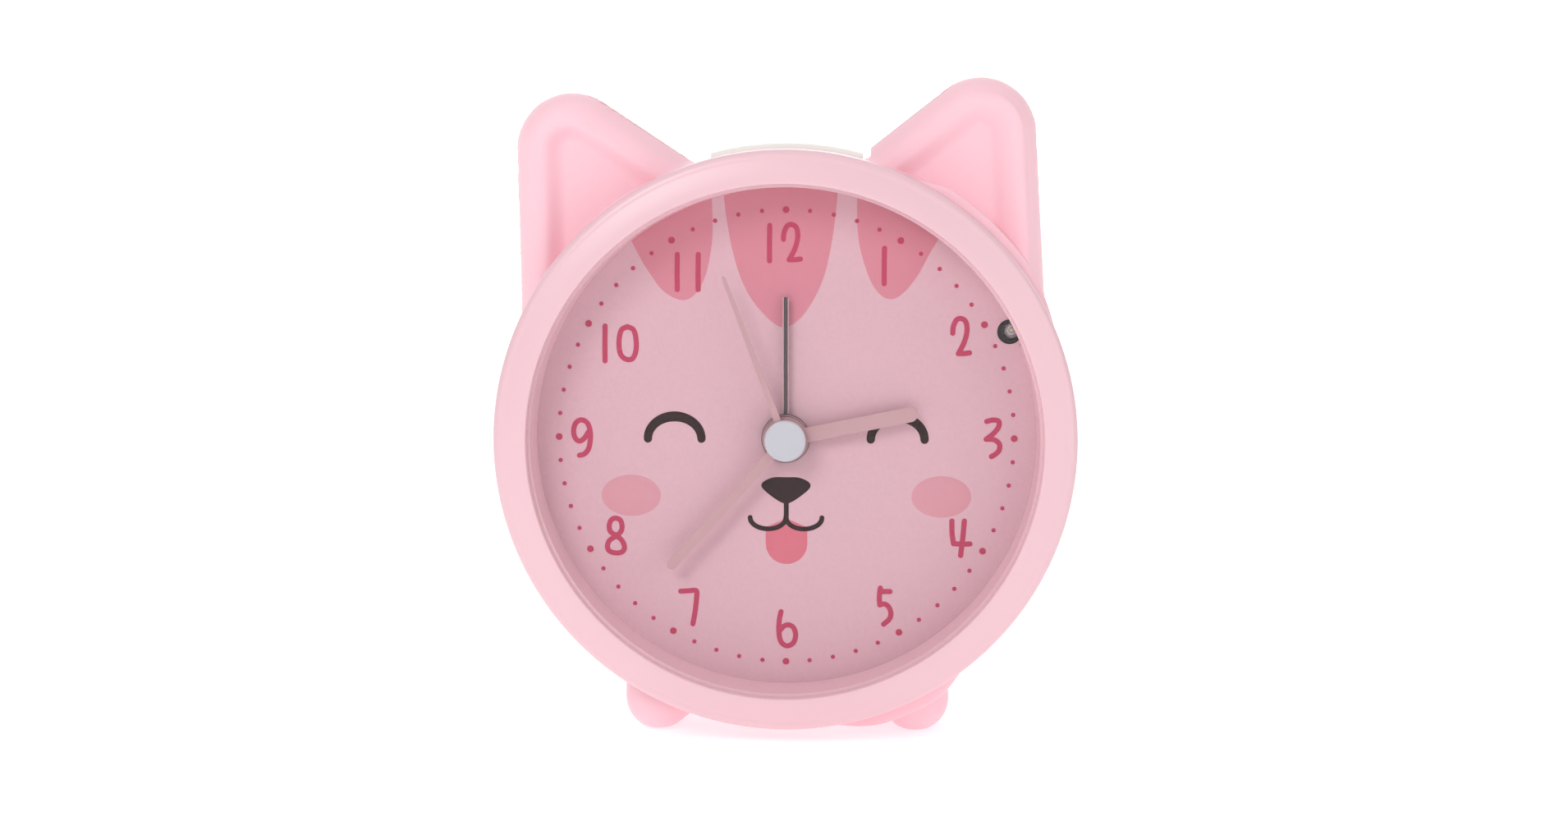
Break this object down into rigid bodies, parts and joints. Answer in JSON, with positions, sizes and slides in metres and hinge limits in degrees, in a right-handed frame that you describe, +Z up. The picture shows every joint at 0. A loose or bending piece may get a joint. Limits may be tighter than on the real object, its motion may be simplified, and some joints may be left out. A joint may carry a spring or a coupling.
{
  "type": "alarm clock",
  "caption": "Round desk alarm clock with a soft cat-eared sleeve, ball feet, printed cat-face dial, hands, night light, snooze bar, quartz movement and battery bay.",
  "frame": {"origin": "on the table under the middle of the clock, at the bottom centre of its bounding box", "axes": "+Z up, the dial faces -Y, +X to the viewer's right when looking at the dial"},
  "size_m": [0.116, 0.0432, 0.1329],
  "materials": {
    "bezel_plastic": "moulded, satin gloss",
    "clear_acrylic": "clear polished",
    "dial_card": "printed card",
    "inner_plastic": "moulded",
    "shell_plastic": "moulded, fine grain",
    "knob_plastic": "moulded",
    "black_plastic": "moulded",
    "silicone": "soft matte silicone",
    "bar_plastic": "milky, frosted",
    "circuit_laminate": "solder mask",
    "clear_epoxy": "clear moulded",
    "tinned_steel": "tinned",
    "red_insulation": "extruded",
    "black_insulation": "extruded",
    "screw_steel": "zinc plated",
    "movement_plastic": "moulded",
    "copper_wire": "enamelled copper, stood in for by brass",
    "stator_iron": "stamped",
    "magnet": "sintered",
    "gear_plastic": "moulded acetal",
    "hand_plastic": "pale translucent",
    "alarm_hand_paint": "dark printed",
    "cap_plastic": "gloss",
    "cell_wrap": "shrink sleeve"
  },
  "bodies": {
    "case": {"alarm_switch_body": "black_plastic", "battery_cell": "cell_wrap", "battery_contact": "tinned_steel", "battery_spring": "tinned_steel", "battery_wire_black": "black_insulation", "battery_wire_red": "red_insulation", "bezel": "bezel_plastic", "buzzer": "black_plastic", "buzzer_wires": "black_insulation", "case_screws": "screw_steel", "chip": "black_plastic", "circuit_board": "circuit_laminate", "coil_bobbin": "inner_plastic", "coil_core": "stator_iron", "coil_winding": "copper_wire", "dial": "dial_card", "dial_carrier": "inner_plastic", "led": "clear_epoxy", "led_leads": "tinned_steel", "led_wire_black": "black_insulation", "led_wire_red": "red_insulation", "lens": "clear_acrylic", "light_board": "circuit_laminate", "movement_front_plate": "movement_plastic", "movement_housing": "movement_plastic", "movement_mid_plate": "movement_plastic", "movement_screws": "screw_steel", "movement_wire_black": "black_insulation", "movement_wire_red": "red_insulation", "quartz_crystal": "tinned_steel", "rear_shell": "shell_plastic", "sleeve": "silicone", "snooze_switch": "black_plastic", "stator": "stator_iron", "switch_wires": "black_insulation"},
    "second_hand": {"second_hand": "hand_plastic", "hand_cap": "cap_plastic", "second_wheel": "gear_plastic"},
    "fifth_wheel": {"fifth_wheel": "gear_plastic"},
    "rotor": {"rotor_pinion": "gear_plastic", "rotor_magnet": "magnet"},
    "third_wheel": {"third_wheel": "gear_plastic"},
    "centre_wheel": {"centre_wheel": "gear_plastic"},
    "minute_hand": {"minute_hand": "hand_plastic", "cannon_pinion": "gear_plastic"},
    "hour_hand": {"hour_hand": "hand_plastic", "hour_wheel": "gear_plastic"},
    "time_setting": {"minute_wheel": "gear_plastic", "time_knob": "knob_plastic"},
    "alarm_hand": {"alarm_hand": "alarm_hand_paint", "alarm_wheel": "gear_plastic"},
    "alarm_setting": {"alarm_pinion": "gear_plastic", "alarm_knob": "knob_plastic"},
    "alarm_switch": {"alarm_switch": "knob_plastic"},
    "snooze_bar": {"snooze_bar": "bar_plastic"},
    "switch_plunger": {"switch_plunger": "knob_plastic"},
    "battery_door": {"battery_door": "shell_plastic"}
  },
  "joints": [
    {"name": "second_hand_spin", "type": "hinge", "parent": "case", "child": "second_hand", "pos_m": [0, -0.00965, 0.0608], "axis": [0, 1, 0], "continuous": true},
    {"name": "fifth_wheel_spin", "type": "hinge", "parent": "case", "child": "fifth_wheel", "pos_m": [0.00525, 0.00235, 0.06989], "axis": [0, 1, 0], "continuous": true},
    {"name": "rotor_spin", "type": "hinge", "parent": "case", "child": "rotor", "pos_m": [0.01411, 0.00435, 0.07146], "axis": [0, 1, 0], "continuous": true},
    {"name": "third_wheel_spin", "type": "hinge", "parent": "case", "child": "third_wheel", "pos_m": [-0.00883, 0.00035, 0.0659], "axis": [0, 1, 0], "continuous": true},
    {"name": "centre_wheel_spin", "type": "hinge", "parent": "case", "child": "centre_wheel", "pos_m": [0, -0.00065, 0.0608], "axis": [0, 1, 0], "continuous": true},
    {"name": "minute_hand_spin", "type": "hinge", "parent": "case", "child": "minute_hand", "pos_m": [0, -0.00965, 0.0608], "axis": [0, 1, 0], "continuous": true},
    {"name": "hour_hand_spin", "type": "hinge", "parent": "case", "child": "hour_hand", "pos_m": [0, -0.00965, 0.0608], "axis": [0, 1, 0], "continuous": true},
    {"name": "time_knob_spin", "type": "hinge", "parent": "case", "child": "time_setting", "pos_m": [0.01299, -0.00165, 0.0533], "axis": [0, 1, 0], "continuous": true},
    {"name": "alarm_hand_spin", "type": "hinge", "parent": "case", "child": "alarm_hand", "pos_m": [0, -0.00965, 0.0608], "axis": [0, 1, 0], "continuous": true},
    {"name": "alarm_knob_spin", "type": "hinge", "parent": "case", "child": "alarm_setting", "pos_m": [-0.01299, -0.00165, 0.0533], "axis": [0, 1, 0], "continuous": true},
    {"name": "alarm_switch_slide", "type": "slide", "parent": "case", "child": "alarm_switch", "axis": [1, 0, 0], "range_m": [0, 0.004]},
    {"name": "snooze_press", "type": "slide", "parent": "case", "child": "snooze_bar", "axis": [0, 0, -1], "range_m": [0, 0.0005], "stiffness_N_per_m": 2000, "springref_m": -0.0004},
    {"name": "plunger_press", "type": "slide", "parent": "case", "child": "switch_plunger", "axis": [0, 0, -1], "range_m": [0, 0.0005]},
    {"name": "battery_door_lift", "type": "slide", "parent": "case", "child": "battery_door", "axis": [0, 1, 0], "range_m": [0, 0.02]}
  ],
  "couplings": [
    {"joint": "fifth_wheel_spin", "follows": "second_hand_spin", "ratio": -6},
    {"joint": "rotor_spin", "follows": "second_hand_spin", "ratio": 30},
    {"joint": "third_wheel_spin", "follows": "second_hand_spin", "ratio": -0.13333},
    {"joint": "centre_wheel_spin", "follows": "second_hand_spin", "ratio": 0.016667},
    {"joint": "time_knob_spin", "follows": "minute_hand_spin", "ratio": -0.33333},
    {"joint": "hour_hand_spin", "follows": "minute_hand_spin", "ratio": 0.083333},
    {"joint": "alarm_knob_spin", "follows": "alarm_hand_spin", "ratio": -3},
    {"joint": "plunger_press", "follows": "snooze_press", "ratio": 1}
  ]
}
